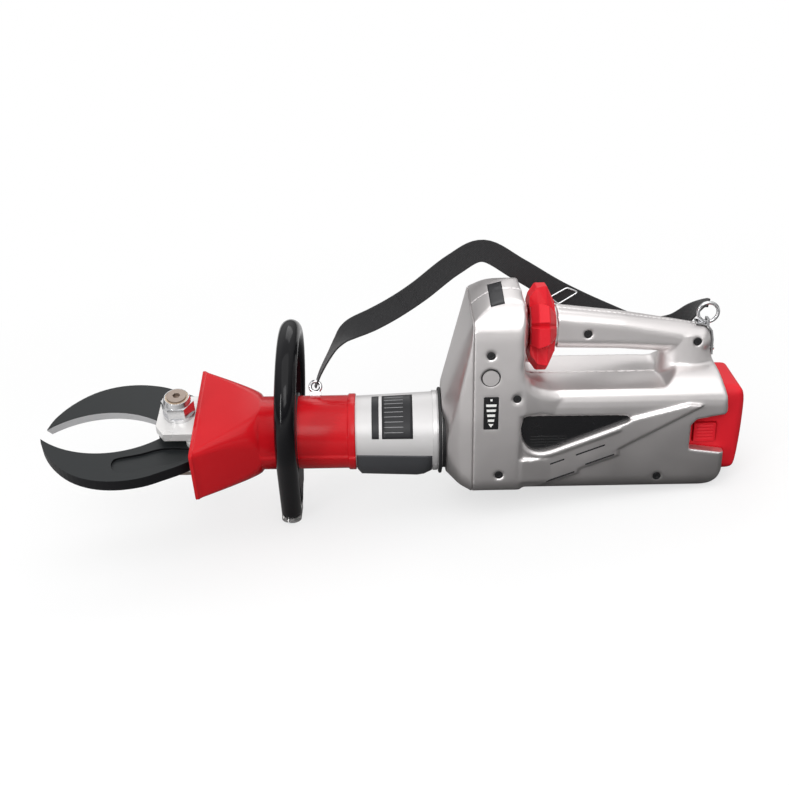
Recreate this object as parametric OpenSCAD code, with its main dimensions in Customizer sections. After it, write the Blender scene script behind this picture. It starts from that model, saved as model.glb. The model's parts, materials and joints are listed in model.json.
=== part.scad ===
// Battery-powered hydraulic rescue cutter, an assembly of separate sub-parts.
// Frame: X runs along the barrel from the blades to the battery, Z is up, millimetres.

/* [Stance] */
// Nose-up angle at which the tool stands on its handle foot and rear edge
stance = 6.7; // [0:0.1:12]
// Forward shift that puts the middle of the whole length over the origin
centre_x = -7.3; // [-40:0.1:40]

/* [Head] */
// Pivot of the blades, along the barrel axis
pivot_x = -243; // [-260:1:-235]
// Roll of the blade plane about the barrel
head_roll = 74; // [0:1:90]
// Thickness of each blade
blade_t = 14; // [10:0.5:18]
// Diameter of the central pivot bolt
pivot_d = 22; // [18:0.5:26]
// Radius of the cutting edge arc
edge_r = 103; // [95:1:112]
// Set-back of the ground bevel over the blade thickness
bevel = 5; // [2:0.5:8]
// Depth of the long pocket in each blade's outer face
pocket_depth = 3; // [1:0.5:5]
// Thickness of the yoke cheek plates
cheek_t = 10; // [8:0.5:12]
// Width of the yoke cheek plates
cheek_w = 70; // [60:1:76]
// Width across flats of the lock nut
nut_af = 32; // [27:0.5:36]
// Height of the lock nut
nut_h = 20; // [14:0.5:24]

/* [Linkage] */
// Distance from pivot to the pin in a blade arm
arm_l = 36; // [34:0.5:38]
// Angle of the blade arm at rest
arm_a = 55; // [50:1:60]
// Length of a link between its pins
link_l = 50; // [46:0.5:56]
// Thickness of a link
link_t = 6.4; // [4:0.2:7]
// Offset of each crosshead pin from the barrel axis
cross_off = 18; // [15:0.5:20]
// Diameter of the linkage pins
link_pin_d = 12; // [10:0.5:13]
// Free play of a blade pin in its link eye
link_play = 1.1; // [0.9:0.1:1.6]

/* [Barrel] */
// Diameter of the red guard where it is round
guard_d = 84; // [80:1:90]
// Wall of the guard
guard_wall = 3; // [2:0.5:4]
// Long side of the guard mouth
mouth_w = 148; // [144:1:154]
// Short side of the guard mouth
mouth_h = 71; // [71:1:76]
// Wall of the hydraulic cylinder
cylinder_wall = 6; // [5:0.5:8]
// Diameter of the piston rod
rod_d = 28; // [24:1:30]
// Large diameter of the silver barrel
barrel_d = 89; // [86:1:92]
// Diameter of the collar ring
collar_d = 92; // [90:1:96]

/* [Front handle] */
// Place of the handle along the barrel
handle_x = -119; // [-128:1:-112]
// Lean of the handle plane towards the case
rake = 2; // [0:0.5:4]
// Bend radius of the handle arch
arch_r = 80; // [76:1:86]
// Height of the arch centre over the barrel axis
arch_z = 41; // [38:1:48]
// Drop from the barrel axis to the point where the limbs meet
limb_drop = 98; // [97:0.5:104]
// Diameter of the bar inside the handle
bar_d = 15; // [12:0.5:18]
// Diameter of the rubber grip on the arch
sleeve_d = 23.6; // [23.6:0.2:27]
// Diameter of the rubber grip on the limbs
limb_d = 23.4; // [22:0.2:23.6]
// Height of the metal foot
foot_h = 10; // [8:0.5:14]

/* [Case] */
// Half width of the front housing
house_w = 62; // [60:0.5:66]
// Top of the front housing
house_top = 172; // [166:1:178]
// Half width of the rear body
body_w = 54; // [52:0.5:56]
// Underside of the case
case_bottom = 54; // [52:0.5:58]
// Height of the body top under the rear grip
body_top = 70; // [66:1:74]
// Parting line between front cover and shells
cover_x = 86; // [82:1:90]
// Diameter of the star grip
star_d = 96; // [90:1:100]
// Diameter of the core tube that carries the star grip
core_d = 30; // [26:1:32]
// Height of the rear grip axis at the star grip
grip_z = 126; // [124:0.5:128]
// Running clearance of turning parts
run_fit = 0.06; // [0.02:0.01:0.1]

/* [Battery] */
// Length of the battery pack
batt_l = 95; // [90:1:98]
// Width of the battery pack
batt_w = 78; // [72:1:80]
// Height of the battery pack
batt_h = 104; // [98:1:106]
// Clearance of the pack in its bay
bay_gap = 1; // [0.5:0.1:1.5]

/* [Hidden] */
$fn = 64;
foot_reach = limb_drop + foot_h - 1;
foot_tilt = limb_d / 2 * (sin(stance + rake) - sin(stance));
foot_low = (foot_reach * cos(stance + rake) + foot_tilt) / cos(stance);
cylinder_d = guard_d - 2 * guard_wall - 6;
bore_d = cylinder_d - 2 * cylinder_wall;
lift = foot_low + limb_d / 2 * sin(stance);
mouth_x = pivot_x + 19;
neck_x = mouth_x + 74;
gap = 0.2;
pad_t = 8;
cheek_in = blade_t + gap + pad_t;
cheek_out = cheek_in + cheek_t;
washer_t = 5;
yoke_end = neck_x + 12;
neck_half = sqrt(pow(guard_d / 2 - guard_wall - 1.5, 2) - pow(cheek_out, 2));
cross_back = 12.5;
link_in = blade_t + gap + 0.2;
cross_rest = -arm_l * cos(arm_a) - sqrt(pow(link_l, 2) - pow(arm_l * sin(arm_a) - cross_off, 2));
link_tilt = asin((arm_l * sin(arm_a) - cross_off) / link_l);
cross_x = pivot_x - cross_rest;
boot_end = -44;
barrel_end = 43;
cyl_end = barrel_end - 5;
collar_end = 53.5;
house_x = collar_end + 4;
house_rear = 141;
house_front = 154;
hood_x = 53;
hood_z = 29;
hood_d = 62;
neck_r = 47;
limb_gap = 12.5;
foot_top = 1 - limb_drop;
limb_far = norm([limb_gap, arch_z - foot_top]);
tangent_a = atan(limb_gap / (arch_z - foot_top)) + acos(arch_r / limb_far);
limb_lean = 90 - tangent_a;
loop_n = 30;
rear_x = 366;
batt_end = 389;
batt_x = batt_end - batt_l;
batt_z = 66 - batt_h;
motor_x = 158;
motor_r = 40;
panel_t = 3;
panel_y = 2.5 - body_w;
boss_l = 6;
star_x = house_rear + boss_l + 2;
star_l = 28;
collar_gap = 2;
grip_x = star_x + star_l + collar_gap;
post_x = 322;
gauge_x = 105;
gauge_z = 50;
button_z = 92;
button_d = 18;
screw_d = 9;
ring_z = 139;

// Name of the sub-part to draw, or all

// Sets the level tool on its foot and rear edge
module stand() {
    translate([handle_x + centre_x, 0, lift - foot_low])
        rotate([0, stance, 0])
            translate([-handle_x, 0, foot_low])
                children();
}

// Head frame: x forward from the pivot, y across in the blade plane, z through the far blade
module head() {
    stand()
        translate([pivot_x, 0, 0])
            rotate([270 - head_roll, 0, 0])
                rotate([0, 0, 180])
                    children();
}

// Round bar along X between two stations
module bar_x(d, x0, x1) {
    translate([x0, 0, 0])
        rotate([0, 90, 0])
            cylinder(d = d, h = x1 - x0);
}

// Tapered bar along X
module cone_x(d0, d1, x0, x1) {
    translate([x0, 0, 0])
        rotate([0, 90, 0])
            cylinder(d1 = d0, d2 = d1, h = x1 - x0);
}

// Ring along X
module ring_x(d, bore, x0, x1) {
    difference() {
        bar_x(d, x0, x1);
        bar_x(bore, x0 - 1, x1 + 1);
    }
}

// Side view outline swept across the tool between two half widths
module slab(y0, y1) {
    translate([0, y1, 0])
        rotate([90, 0, 0])
            linear_extrude(height = y1 - y0)
                children();
}

// Section outline, x is across and y is up, swept along X
module beam(x0, x1) {
    translate([x0, 0, 0])
        rotate([90, 0, 90])
            linear_extrude(height = x1 - x0)
                children();
}

function arc(cx, cy, r, a0, a1, n) = [for (i = [0:n]) let (a = a0 + (a1 - a0) * i / n)
    [cx + r * cos(a), cy + r * sin(a)]];

// Smooth curve through points, n steps between neighbours
function curve(p, n) = let (m = len(p) - 1) concat([for (i = [0:m - 1]) for (k = [0:n - 1]) let (
    t = k / n,
    a = p[max(0, i - 1)],
    b = p[i],
    c = p[i + 1],
    d = p[min(m, i + 2)])
    (2 * b + (c - a) * t + (2 * a - 5 * b + 4 * c - d) * t * t
        + (3 * b - a - 3 * c + d) * t * t * t) / 2], [p[m]]);

// Half section with two corner radii, mirrored about the middle
function section(w, top, bottom, rt, rb) = concat(
    arc(w - rt, top - rt, rt, 0, 90, 8),
    arc(-w + rt, top - rt, rt, 90, 180, 8),
    arc(-w + rb, bottom + rb, rb, 180, 270, 8),
    arc(w - rb, bottom + rb, rb, 270, 360, 8));

// Closed skin through rings of points, ring after ring and back to the first
module ring_skin(rings) {
    n = len(rings[0]);
    m = len(rings);
    pts = [for (r = rings) for (p = r) p];
    quads = [for (i = [0:m - 1]) for (j = [0:n - 1])
        [i * n + j, i * n + (j + 1) % n, ((i + 1) % m) * n + (j + 1) % n, ((i + 1) % m) * n + j]];
    faces = [for (q = quads) for (k = [0:1]) k == 0 ? [q[0], q[1], q[2]] : [q[0], q[2], q[3]]];
    polyhedron(points = pts, faces = faces, convexity = 8);
}

// Skin through rings of points with flat ends
module tube_skin(rings) {
    n = len(rings[0]);
    m = len(rings);
    sides = [for (i = [0:m - 2]) for (j = [0:n - 1]) for (k = [0:1]) k == 0
        ? [i * n + j, i * n + (j + 1) % n, (i + 1) * n + (j + 1) % n]
        : [i * n + j, (i + 1) * n + (j + 1) % n, (i + 1) * n + j]];
    polyhedron(points = [for (r = rings) for (p = r) p], convexity = 8,
        faces = concat([[for (j = [n - 1:-1:0]) j]], sides, [[for (j = [0:n - 1]) (m - 1) * n + j]]));
}

// Outer edge and arm of a blade in the head frame, before the cutting edge is ground
module blade_outline() {
    polygon(concat(curve([[159, 12], [153, 31], [138, 54], [116, 74], [90, 85.5], [62, 88.5], [34, 84],
        [12, 74.5], [-6, 65.5], [-20, 56], [-30, 44], [-34, 32], [-33, 20]], 4),
        [[-26, 12], [-12, 0], [30, 0], [159, 0]]));
}

module blade() {
    difference() {
        union() {
            // ground bevel, falling away from the cutting edge
            difference() {
                translate([0, 0, gap / 2])
                    linear_extrude(height = blade_t)
                        blade_outline();
                translate([88, -64, gap / 2 - 2])
                    cylinder(r1 = edge_r - bevel * 2 / blade_t, r2 = edge_r + bevel * (1 + 2 / blade_t),
                        h = blade_t + 4);
            }
            translate([0, 0, gap / 2])
                cylinder(r = 27, h = blade_t);
        }
        // long pocket in the outer face
        translate([0, 0, blade_t + gap / 2 - pocket_depth])
            linear_extrude(height = pocket_depth + 1)
                polygon(curve([[70, 62], [69, 56], [64, 52], [40, 46], [18, 38], [-8, 38], [-20, 42],
                    [-20, 50], [-8, 58], [16, 67], [44, 74], [62, 74], [68, 69], [70, 62]], 3));
        translate([0, 0, -1])
            cylinder(d = pivot_d + 2 * run_fit, h = blade_t + 3);
        translate([-arm_l * cos(arm_a), arm_l * sin(arm_a), -1])
            cylinder(d = link_pin_d, h = blade_t + 3);
    }
}

module upper_blade() {
    color([0.25, 0.26, 0.27])
        head()
            blade();
}

module lower_blade() {
    color([0.25, 0.26, 0.27])
        head()
            rotate([180, 0, 0])
                blade();
}

module pivot_bolt() {
    color([0.75, 0.75, 0.76])
        head()
            difference() {
                union() {
                    translate([0, 0, -cheek_out - washer_t - nut_h - 2])
                        cylinder(d = pivot_d, h = 2 * cheek_out + 2 * washer_t + nut_h + 3);
                    translate([0, 0, cheek_out + washer_t])
                        cylinder(d = nut_af * 2 / sqrt(3), h = 13, $fn = 6);
                }
                // hexagon socket in the threaded end
                translate([0, 0, -cheek_out - washer_t - nut_h - 3])
                    cylinder(d = 9, h = 6, $fn = 6);
            }
}

module pivot_nut() {
    color([0.8, 0.8, 0.8])
        head()
            translate([0, 0, -cheek_out - washer_t - nut_h])
                difference() {
                    union() {
                        translate([0, 0, 6])
                            cylinder(d = nut_af * 2 / sqrt(3), h = nut_h - 6, $fn = 6);
                        cylinder(d1 = nut_af - 4, d2 = nut_af - 0.5, h = 6);
                    }
                    translate([0, 0, -1])
                        cylinder(d = pivot_d, h = nut_h + 2);
                    translate([0, 0, -1])
                        cylinder(d = pivot_d + 4, h = 5);
                }
}

module nut_insert() {
    color([0.86, 0.82, 0.72])
        head()
            translate([0, 0, -cheek_out - washer_t - nut_h + 0.6])
                difference() {
                    cylinder(d = pivot_d + 4, h = 3.4);
                    translate([0, 0, -1])
                        cylinder(d = pivot_d, h = 6);
                }
}

module pivot_washers() {
    color([0.7, 0.7, 0.7])
        head()
            for (s = [-1, 1])
                translate([0, 0, s > 0 ? cheek_out : -cheek_out - washer_t])
                    difference() {
                        cylinder(d = nut_af + 4, h = washer_t);
                        translate([0, 0, -1])
                            cylinder(d = pivot_d, h = washer_t + 2);
                    }
}

module cheek_outline() {
    polygon([[23, -cheek_w / 2 + 9], [24, cheek_w / 2 - 14], [14, cheek_w / 2], [-36, cheek_w / 2],
        [pivot_x - yoke_end, neck_half], [pivot_x - yoke_end, -neck_half], [-36, -cheek_w / 2 + 6],
        [16, -cheek_w / 2 + 6]]);
}

module yoke() {
    color([0.82, 0.81, 0.8])
        difference() {
            union() {
                head()
                    for (s = [0, 180])
                        rotate([s, 0, 0]) {
                            translate([0, 0, cheek_in])
                                linear_extrude(height = cheek_t)
                                    cheek_outline();
                            translate([0, 0, blade_t + gap])
                                cylinder(d = 40, h = pad_t + 1);
                        }
                stand()
                    bar_x(cylinder_d, neck_x, yoke_end);
            }
            head()
                translate([0, 0, -cheek_out - 1])
                    cylinder(d = pivot_d, h = 2 * cheek_out + 2);
            stand()
                bar_x(rod_d + 6, neck_x - 1, yoke_end + 1);
        }
}

// Pin that joins a blade arm to its link
module blade_pin() {
    translate([-arm_l * cos(arm_a), arm_l * sin(arm_a), gap / 2])
        cylinder(d = link_pin_d, h = blade_t + link_t + 1);
}

module upper_blade_pin() {
    color([0.7, 0.7, 0.7])
        head()
            blade_pin();
}

module lower_blade_pin() {
    color([0.7, 0.7, 0.7])
        head()
            rotate([180, 0, 0])
                blade_pin();
}

// Link from the crosshead pin to the blade pin
module link() {
    translate([cross_rest, cross_off, link_in])
        rotate([0, 0, link_tilt])
            difference() {
                union() {
                    cylinder(d = link_pin_d + 10, h = link_t);
                    translate([link_l, 0, 0])
                        cylinder(d = link_pin_d + 10, h = link_t);
                    translate([0, -8, 0])
                        cube([link_l, 16, link_t]);
                }
                translate([0, 0, -1])
                    cylinder(d = link_pin_d + 2 * run_fit, h = link_t + 2);
                translate([link_l, 0, -1])
                    cylinder(d = link_pin_d + 2 * link_play, h = link_t + 2);
            }
}

module upper_link() {
    color([0.55, 0.56, 0.58])
        head()
            link();
}

module lower_link() {
    color([0.55, 0.56, 0.58])
        head()
            rotate([180, 0, 0])
                link();
}

module crosshead() {
    color([0.6, 0.6, 0.62])
        head()
            difference() {
                translate([cross_rest - cross_back, -cross_off - 9, -blade_t])
                    cube([cross_back + 10, 2 * cross_off + 18, 2 * blade_t]);
                for (s = [-1, 1])
                    translate([cross_rest, s * cross_off, -blade_t - 1])
                        cylinder(d = link_pin_d, h = 2 * blade_t + 2);
            }
}

module crosshead_pins() {
    color([0.7, 0.7, 0.7])
        head()
            for (s = [0, 180])
                rotate([s, 0, 0])
                    translate([cross_rest, cross_off, -blade_t])
                        cylinder(d = link_pin_d, h = 2 * blade_t + link_t + 1);
}

module piston_rod() {
    color([0.85, 0.85, 0.86])
        stand()
            bar_x(rod_d, cross_x + cross_back, -70);
}

module piston() {
    color([0.6, 0.6, 0.62])
        stand()
            difference() {
                bar_x(bore_d - 1, -70, -46);
                ring_x(bore_d + 2, bore_d - 8, -62, -54);
            }
}

module piston_seal() {
    color([0.1, 0.1, 0.1])
        stand()
            ring_x(bore_d - 2 * run_fit, bore_d - 8, -62, -54);
}

module rod_gland() {
    color([0.72, 0.62, 0.35])
        stand()
            ring_x(bore_d, rod_d + 2 * run_fit, yoke_end, yoke_end + 16);
}

module cylinder_tube() {
    ring_x(cylinder_d, bore_d, yoke_end, cyl_end - 12);
    bar_x(cylinder_d, cyl_end - 12, cyl_end);
}

module cylinder_node() {
    color([0.5, 0.51, 0.52])
        stand()
            cylinder_tube();
}

// Ring of the guard: rounded rectangle that turns into a circle, f is 1 at the mouth
function guard_ring(x, f, inset) = let (
    a = guard_d / 2 + (mouth_w / 2 - guard_d / 2) * pow(f, 1.25) - inset,
    b = guard_d / 2 + (mouth_h / 2 - guard_d / 2) * pow(f, 1.6) - inset,
    r = max(3, (guard_d / 2 - inset) * (1 - pow(f, 0.5)) + 6 * f - inset * f),
    q = concat(arc(a - r, b - r, r, 0, 90, 8), arc(-a + r, b - r, r, 90, 180, 8),
        arc(-a + r, -b + r, r, 180, 270, 8), arc(a - r, -b + r, r, 270, 360, 8)))
    [for (p = q) [x, p[0] * sin(head_roll) - p[1] * cos(head_roll),
        p[0] * cos(head_roll) + p[1] * sin(head_roll)]];

module guard_boot() {
    flare = neck_x - mouth_x;
    fs = [1, 0.9, 0.8, 0.7, 0.6, 0.5, 0.4, 0.3, 0.2, 0.12, 0.05, 0];
    outer = [for (f = fs) guard_ring(neck_x - flare * f, f, 0)];
    lip = [guard_ring(boot_end - 9, 0, 0), guard_ring(boot_end - 7, 0, -1.8),
        guard_ring(boot_end, 0, -1.8)];
    inner = [for (i = [len(fs) - 1:-1:0]) guard_ring(neck_x - flare * fs[i], fs[i], guard_wall)];
    color([0.82, 0.13, 0.16])
        stand()
            ring_skin(concat(outer, lip, [guard_ring(boot_end, 0, guard_wall)], inner));
}

module silver_barrel() {
    color([0.78, 0.77, 0.76])
        stand()
            difference() {
                union() {
                    bar_x(guard_d - 2 * guard_wall - 1, boot_end - 30, boot_end + 1);
                    cone_x(guard_d - 2, barrel_d, boot_end, barrel_end);
                }
                bar_x(cylinder_d, boot_end - 31, cyl_end);
                bar_x(40, boot_end, barrel_end + 1);
            }
}

module collar_ring() {
    color([0.84, 0.84, 0.84])
        stand()
            difference() {
                ring_x(collar_d, 40, barrel_end, collar_end);
                ring_x(collar_d + 2, collar_d - 2, barrel_end + 5, barrel_end + 7);
            }
}

module seal_ring() {
    color([0.05, 0.05, 0.05])
        stand()
            ring_x(collar_d - 6, 60, collar_end, house_x);
}

// Ring of points round the handle path, i runs from one limb end to the other
function loop_ring(i, d) = let (
    side = i < loop_n / 2 ? 1 : -1,
    k = min(max(i - 2, 0), loop_n - 4) / (loop_n - 4),
    turn = -90 + tangent_a + (360 - 2 * tangent_a) * k,
    c = [arch_r * cos(turn), arch_z + arch_r * sin(turn)],
    far = [side * limb_gap, foot_top],
    mid = i == 0 || i == loop_n ? far : i == 1 || i == loop_n - 1 ? (c + far) / 2 : c,
    run = (c - far) / norm(c - far),
    out = i < 2 || i > loop_n - 2 ? [run[1], -run[0]] * side : [cos(turn), sin(turn)],
    end_i = min(i, loop_n - i),
    r = end_i == 0 ? min(d, limb_d) / 2 : end_i == 1 ? min(d, limb_d + 1) / 2 : d / 2)
    [for (q = arc(0, 0, r, 0, 337.5, 15)) let (
        p = mid + out * q[1],
        slip = i == 0 || i == loop_n ? (foot_top - p[1]) / run[1] : 0)
        [handle_x + q[0], p[0] + run[0] * slip, p[1] + run[1] * slip]];

// Handle frame: leans the handle about the barrel axis
module lean() {
    translate([handle_x, 0, 0])
        rotate([0, rake, 0])
            translate([-handle_x, 0, 0])
                children();
}

module handle_bar() {
    color([0.7, 0.7, 0.7])
        stand() lean()
            tube_skin([for (i = [0:loop_n]) loop_ring(i, bar_d)]);
}

module handle_sleeve() {
    color([0.12, 0.12, 0.13])
        stand() lean()
            ring_skin(concat([for (i = [0:loop_n]) loop_ring(i, sleeve_d)],
                [for (i = [loop_n:-1:0]) loop_ring(i, bar_d)]));
}

module handle_foot() {
    color([0.75, 0.75, 0.76])
        stand() lean()
            translate([handle_x, 0, foot_top - foot_h])
                difference() {
                    union() {
                        for (s = [-1, 1])
                            translate([0, s * limb_gap, 0])
                                cylinder(d = limb_d - 0.4, h = foot_h);
                        translate([-limb_d / 2 + 0.2, -limb_gap, 0])
                            cube([limb_d - 0.4, 2 * limb_gap, foot_h]);
                    }
                    for (s = [-1, 1])
                        for (a = [0:15:180])
                            translate([0, s * limb_gap, 3])
                                rotate([0, 0, s * a])
                                    translate([limb_d / 2 - 0.7, 0, 0])
                                        rotate([0, 0, 45])
                                            translate([-0.2, -0.2, 0])
                                                cube([2, 2, foot_h]);
                }
}

// Clamp ring round the barrel with a saddle between the limbs
module handle_clamp() {
    color([0.2, 0.2, 0.21])
        stand()
            difference() {
                union() {
                    ring_x(guard_d + 7, guard_d, handle_x - 10, handle_x + 10);
                    beam(handle_x - 10, handle_x + 10)
                        polygon([[-44, -30], [44, -30], [20, -74], [-20, -74]]);
                }
                bar_x(guard_d, handle_x - 11, handle_x + 11);
                for (s = [-1, 1])
                    lean()
                        translate([handle_x, s * limb_gap, foot_top])
                            rotate([-s * limb_lean, 0, 0])
                                translate([0, 0, -4])
                                    cylinder(d = sleeve_d + 0.4, h = 130);
            }
}

module strap_eye() {
    color([0.8, 0.8, 0.8])
        stand()
            translate([-90, 0, 0])
                rotate([-24, 0, 0]) {
                    translate([-6, -5, guard_d / 2])
                        cube([12, 10, 4]);
                    translate([0, 0, guard_d / 2 + 10])
                        rotate([90, 0, 0])
                            rotate_extrude()
                                translate([6, 0])
                                    circle(d = 4, $fn = 24);
                }
}

// Side outline of the front housing behind its cover
module house_side() {
    polygon(concat(curve([[cover_x, house_front], [93, house_front + 6], [104, house_top - 5],
        [116, house_top - 2], [130, house_top - 1], [house_rear, house_top - 3]], 3),
        [[house_rear, -case_bottom], [cover_x, -case_bottom]]));
}

// Side outline of the rear body
module body_side() {
    polygon(concat([[house_rear - 30, body_top + 15]],
        arc(house_rear + 15, body_top + 15, 15, 180, 270, 6),
        [[296, body_top], [312, body_top + 15], [356, body_top + 15], [rear_x - 4, 66],
            [rear_x, 44], [rear_x, -22]],
        arc(rear_x - 30, -case_bottom + 30, 30, 0, -90, 8),
        [[house_rear - 30, -case_bottom]]));
}

// Band that climbs from the housing foot to the rear shoulder
module band_side() {
    polygon([[136, -case_bottom + 6], [158, -46], [186, -34], [336, 52], [322, 54], [262, 38], [188, 2],
        [164, -7], [146, -2], [136, 10]]);
}

// Side window, a long rounded triangle
module window_side() {
    c = curve([[138.5, 31], [141, 38], [148, 41], [180, 41], [220, 40.8], [250, 40.5], [257, 38.5],
        [256.5, 34.5], [245, 29.5], [215, 17.5], [188, 7], [172, 0.8], [160, -1.2], [149, 2.5],
        [142, 12], [139, 22], [138.5, 31]], 3);
    polygon([for (i = [0:len(c) - 2]) c[i]]);
}

// Thin slice of the rear grip, half width w and half height h
module grip_slice(x, z, w, h) {
    translate([0, 0, z])
        beam(x, x + 2)
            polygon(section(w, h, -h, 11, 13));
}

// Rear grip and its post, rounded sections joined up
module grip_form() {
    hull() {
        grip_slice(grip_x, grip_z, 20, 22);
        grip_slice(250, grip_z - 5.5, 19, 19);
    }
    hull() {
        grip_slice(250, grip_z - 5.5, 19, 19);
        translate([post_x + 18, 0, grip_z - 17])
            scale([12, 18, 17])
                sphere(r = 1, $fn = 24);
    }
    hull() {
        translate([post_x, 0, grip_z - 18])
            scale([26, 18, 1])
                cylinder(r = 1, h = 10, $fn = 32);
        translate([post_x + 4, 0, body_top - 6])
            scale([32, 24, 1])
                cylinder(r = 1, h = 12, $fn = 32);
    }
}

module house_section() {
    polygon(section(house_w, house_top, -case_bottom, 36, 20));
}

// Plan outline with rounded rear corners, as a tall block
module plan(x0, x1, w, r) {
    translate([0, 0, -200])
        linear_extrude(height = 500)
            polygon(concat([[x0, -w]], arc(x1 - r, -w + r, r, 270, 360, 6), arc(x1 - r, w - r, r, 0, 90, 6),
                [[x0, w]]));
}

module house_form() {
    intersection() {
        slab(-house_w - 1, house_w + 1)
            house_side();
        beam(cover_x - 1, house_rear + 1)
            house_section();
        plan(cover_x - 2, house_rear, house_w, 7);
    }
    // boss behind the star grip
    translate([0, 0, grip_z])
        bar_x(core_d + 26, house_rear - 4, house_rear + boss_l);
}

// Funnel from the round collar to the tall housing, with a brow over the collar
module cover_form() {
    difference() {
        hull() {
            bar_x(2 * neck_r, house_x, house_x + 2);
            translate([0, 0, hood_z])
                bar_x(hood_d, hood_x, hood_x + 2);
            beam(cover_x - 14, cover_x - 12)
                polygon(section(house_w - 5, house_front - 44, 4 - case_bottom, 40, 24));
            beam(cover_x - 1, cover_x)
                intersection() {
                    house_section();
                    translate([-house_w, -case_bottom])
                        square([2 * house_w, house_front + case_bottom]);
                }
        }
        bar_x(collar_d + 1, hood_x - 1, house_x);
    }
}

module body_form() {
    intersection() {
        slab(-body_w - 1, body_w + 1)
            body_side();
        beam(house_rear - 31, rear_x + 1)
            polygon(section(body_w, body_top + 15, -case_bottom, 34, 18));
        plan(house_rear - 32, rear_x, body_w, 7);
    }
    intersection() {
        slab(-body_w - 4, body_w + 4)
            band_side();
        beam(house_rear - 31, rear_x + 1)
            polygon(section(body_w + 4, body_top, -case_bottom, 20, 18));
    }
}

// Rooms inside the case
module case_rooms() {
    bar_x(84, house_x - 1, motor_x);
    bar_x(2 * motor_r + 4, motor_x - 1, batt_x - 18);
    translate([batt_x - 20, -batt_w / 2 - bay_gap, batt_z - bay_gap])
        cube([140, batt_w + 2 * bay_gap, batt_h + 2 * bay_gap]);
    translate([92, -16, 30])
        cube([36, 32, grip_z - 12]);
    translate([0, 0, grip_z])
        bar_x(core_d, 120, grip_x + 12);
    for (s = [-1, 1])
        scale([1, s, 1]) {
            slab(-house_w - 1, panel_y + panel_t)
                window_side();
            // side notch over the release tab
            slab(-body_w - 6, -batt_w / 2 + 4)
                polygon([[rear_x + 8, 42], [332, 34], [326, 27], [326, -2], [rear_x + 8, -9]]);
            // vent slits in the band
            for (v = [[156, -23], [200, -6], [168, -39], [211, -18]])
                translate([v[0], -body_w - 6, v[1]])
                    rotate([0, -21, 0])
                        cube([34, 8, 2]);
        }
    // gauge and button places on the near side
    translate([gauge_x - 8.5, -house_w - 1, gauge_z - 20])
        cube([17, 7, 40]);
    translate([gauge_x - 14, -house_w + 6 - 0.01, gauge_z - 26])
        cube([28, 10, 84]);
    translate([gauge_x - 1, 0, button_z])
        rotate([90, 0, 0])
            cylinder(d = button_d + 0.6, h = house_w + 1);
    // screw wells
    for (p = near_screws())
        translate([p[0], -p[2], p[1]])
            rotate([90, 0, 0])
                cylinder(d = screw_d + 1, h = 30);
}

function near_screws() = [[104, 117, house_w - 3], [115, -27, house_w - 3], [133, 66, house_w - 3],
    [293, -36, body_w - 3], [213, grip_z - 3, 17], [334, grip_z - 15, 15]];

module case_body() {
    difference() {
        union() {
            house_form();
            body_form();
            grip_form();
        }
        case_rooms();
    }
}

module front_cover() {
    color([0.62, 0.61, 0.61])
        stand()
            intersection() {
                difference() {
                    cover_form();
                    bar_x(84, house_x + 6, motor_x);
                    bar_x(60, house_x - 1, motor_x);
                    translate([92, -16, 30])
                        cube([36, 32, grip_z - 12]);
                }
                translate([0, -100, -100])
                    cube([cover_x, 200, 400]);
            }
}

module half_case(s) {
    intersection() {
        case_body();
        translate([cover_x, s < 0 ? -100 : 0, -100])
            cube([400, 100, 400]);
    }
}

module left_shell() {
    color([0.8, 0.79, 0.78])
        stand()
            half_case(-1);
}

module right_shell() {
    color([0.8, 0.79, 0.78])
        stand()
            half_case(1);
}

// Black vent panel in the side window, with slots along its lower edge
module window_panel(s) {
    scale([1, s, 1])
        difference() {
            slab(panel_y, panel_y + panel_t)
                window_side();
            for (z = [5:3.5:15.5])
                translate([150, panel_y - 1, z])
                    cube([40, 2, 1.4]);
        }
}

module left_window_panel() {
    color([0.05, 0.05, 0.05])
        stand()
            window_panel(1);
}

module right_window_panel() {
    color([0.05, 0.05, 0.05])
        stand()
            window_panel(-1);
}

module case_screws() {
    color([0.3, 0.3, 0.31])
        stand()
            for (p = near_screws())
                translate([p[0], -p[2], p[1]])
                    rotate([90, 0, 0])
                        difference() {
                            cylinder(d = screw_d, h = 2);
                            translate([0, 0, 0.8])
                                cylinder(d = 4.6, h = 3, $fn = 6);
                        }
}

module charge_gauge() {
    color([0.04, 0.04, 0.05])
        stand()
            translate([gauge_x - 8.3, -house_w + 0.5, gauge_z - 19.8])
                cube([16.6, 5.5, 39.6]);
}

module control_board() {
    color([0.1, 0.35, 0.2])
        stand()
            translate([gauge_x - 13, -house_w + 6, gauge_z - 25])
                cube([26, 1.6, 82]);
}

module power_button() {
    color([0.75, 0.74, 0.73])
        stand()
            translate([gauge_x - 1, -house_w + 5, button_z])
                rotate([90, 0, 0])
                    cylinder(d = button_d, h = 6);
}

// Star grip: lobes round a cone, turned on the core tube
module star_grip() {
    color([0.82, 0.13, 0.16])
        stand()
            translate([star_x, 0, grip_z])
                rotate([0, 90, 0])
                    difference() {
                        intersection() {
                            union() {
                                cylinder(d = star_d * 0.72, h = star_l);
                                for (a = [0:45:315])
                                    rotate([0, 0, a])
                                        translate([star_d * 0.36, 0, 0])
                                            cylinder(d = star_d * 0.26, h = star_l);
                            }
                            union() {
                                cylinder(d1 = star_d - 6, d2 = star_d, h = 4);
                                translate([0, 0, 4])
                                    cylinder(d1 = star_d, d2 = star_d * 0.6, h = star_l - 4);
                            }
                        }
                        translate([0, 0, -1])
                            cylinder(d = core_d + 2 * run_fit, h = star_l + 2);
                    }
}

module core_tube() {
    color([0.7, 0.7, 0.7])
        stand()
            translate([0, 0, grip_z])
                ring_x(core_d, 14, 128, grip_x + 12);
}

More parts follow.
